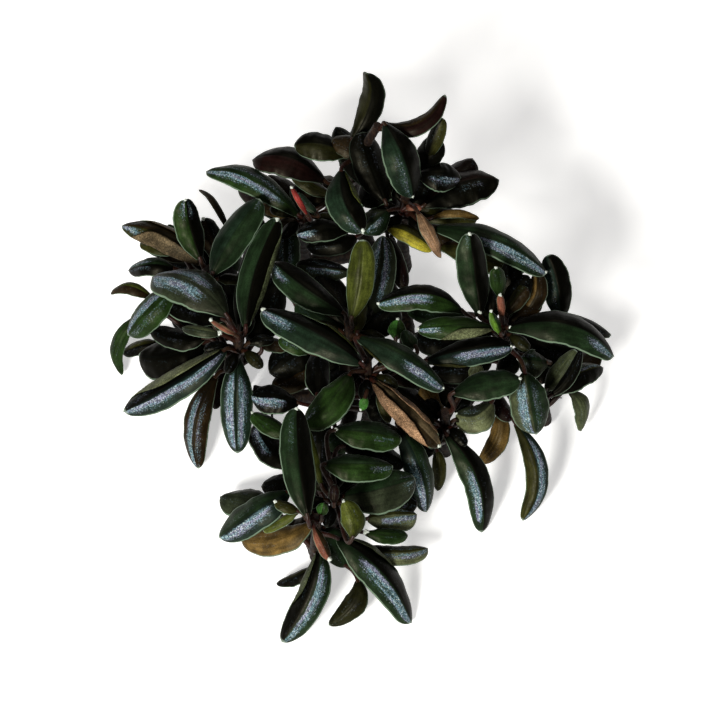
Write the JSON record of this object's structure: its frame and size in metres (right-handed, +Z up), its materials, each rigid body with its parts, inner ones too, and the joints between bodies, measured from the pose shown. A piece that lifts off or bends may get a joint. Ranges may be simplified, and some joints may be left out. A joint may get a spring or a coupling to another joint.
{
  "type": "bucephalandra plant",
  "caption": "Low bushy water plant with creeping rhizomes, short upright stems and many stiff pointed leaves that arch outwards.",
  "frame": {"origin": "middle of the plant's outline in plan, on the table plane under the rhizomes", "axes": "+Z up, -Y towards the viewer of the front, +X to the viewer's right"},
  "size_m": [0.1264, 0.1324, 0.056],
  "materials": {
    "rhizome_back": "satin",
    "rhizome_front": "satin",
    "rhizome_middle": "satin",
    "stem_back_left": "satin",
    "stem_back_right": "satin",
    "stem_centre": "satin",
    "stem_front": "satin",
    "stem_front_right": "satin",
    "stem_left": "satin",
    "stem_low_right": "satin",
    "stem_right": "satin",
    "stem_upper_left": "satin",
    "leaf_left_01": "satin",
    "leaf_left_02": "satin",
    "leaf_left_03": "satin",
    "leaf_left_04": "satin",
    "leaf_left_05": "satin",
    "leaf_left_06": "satin",
    "leaf_left_07": "satin",
    "leaf_left_08": "satin",
    "leaf_left_09": "satin",
    "leaf_left_10": "satin",
    "leaf_back_01": "satin",
    "leaf_back_02": "satin",
    "leaf_back_03": "satin",
    "leaf_back_04": "satin",
    "leaf_back_05": "satin",
    "leaf_back_06": "satin",
    "leaf_back_07": "satin",
    "leaf_back_08": "satin",
    "leaf_back_09": "satin",
    "leaf_back_10": "satin",
    "leaf_back_11": "satin",
    "leaf_back_12": "satin",
    "leaf_middle_01": "satin",
    "leaf_middle_02": "satin",
    "leaf_middle_03": "satin",
    "leaf_middle_04": "satin",
    "leaf_middle_05": "satin",
    "leaf_middle_06": "satin",
    "leaf_middle_07": "satin",
    "leaf_middle_08": "satin",
    "leaf_middle_09": "satin",
    "leaf_right_01": "satin",
    "leaf_right_02": "satin",
    "leaf_right_03": "satin",
    "leaf_right_04": "satin",
    "leaf_right_05": "satin",
    "leaf_right_06": "satin",
    "leaf_front_01": "satin",
    "leaf_front_02": "satin",
    "leaf_front_03": "satin",
    "leaf_front_04": "satin",
    "leaf_front_05": "satin",
    "leaf_front_06": "satin",
    "leaf_front_07": "satin",
    "leaf_front_08": "satin",
    "leaf_front_09": "satin",
    "leaf_front_10": "satin",
    "leaf_front_11": "satin"
  },
  "bodies": {
    "root": {"rhizome_back": "rhizome_back", "rhizome_front": "rhizome_front", "rhizome_middle": "rhizome_middle", "stem_back_left": "stem_back_left", "stem_back_right": "stem_back_right", "stem_centre": "stem_centre", "stem_front": "stem_front", "stem_front_right": "stem_front_right", "stem_left": "stem_left", "stem_low_right": "stem_low_right", "stem_right": "stem_right", "stem_upper_left": "stem_upper_left", "leaf_left_01": "leaf_left_01", "leaf_left_02": "leaf_left_02", "leaf_left_03": "leaf_left_03", "leaf_left_04": "leaf_left_04", "leaf_left_05": "leaf_left_05", "leaf_left_06": "leaf_left_06", "leaf_left_07": "leaf_left_07", "leaf_left_08": "leaf_left_08", "leaf_left_09": "leaf_left_09", "leaf_left_10": "leaf_left_10", "leaf_back_01": "leaf_back_01", "leaf_back_02": "leaf_back_02", "leaf_back_03": "leaf_back_03", "leaf_back_04": "leaf_back_04", "leaf_back_05": "leaf_back_05", "leaf_back_06": "leaf_back_06", "leaf_back_07": "leaf_back_07", "leaf_back_08": "leaf_back_08", "leaf_back_09": "leaf_back_09", "leaf_back_10": "leaf_back_10", "leaf_back_11": "leaf_back_11", "leaf_back_12": "leaf_back_12", "leaf_middle_01": "leaf_middle_01", "leaf_middle_02": "leaf_middle_02", "leaf_middle_03": "leaf_middle_03", "leaf_middle_04": "leaf_middle_04", "leaf_middle_05": "leaf_middle_05", "leaf_middle_06": "leaf_middle_06", "leaf_middle_07": "leaf_middle_07", "leaf_middle_08": "leaf_middle_08", "leaf_middle_09": "leaf_middle_09", "leaf_right_01": "leaf_right_01", "leaf_right_02": "leaf_right_02", "leaf_right_03": "leaf_right_03", "leaf_right_04": "leaf_right_04", "leaf_right_05": "leaf_right_05", "leaf_right_06": "leaf_right_06", "leaf_front_01": "leaf_front_01", "leaf_front_02": "leaf_front_02", "leaf_front_03": "leaf_front_03", "leaf_front_04": "leaf_front_04", "leaf_front_05": "leaf_front_05", "leaf_front_06": "leaf_front_06", "leaf_front_07": "leaf_front_07", "leaf_front_08": "leaf_front_08", "leaf_front_09": "leaf_front_09", "leaf_front_10": "leaf_front_10", "leaf_front_11": "leaf_front_11"}
  },
  "joints": []
}
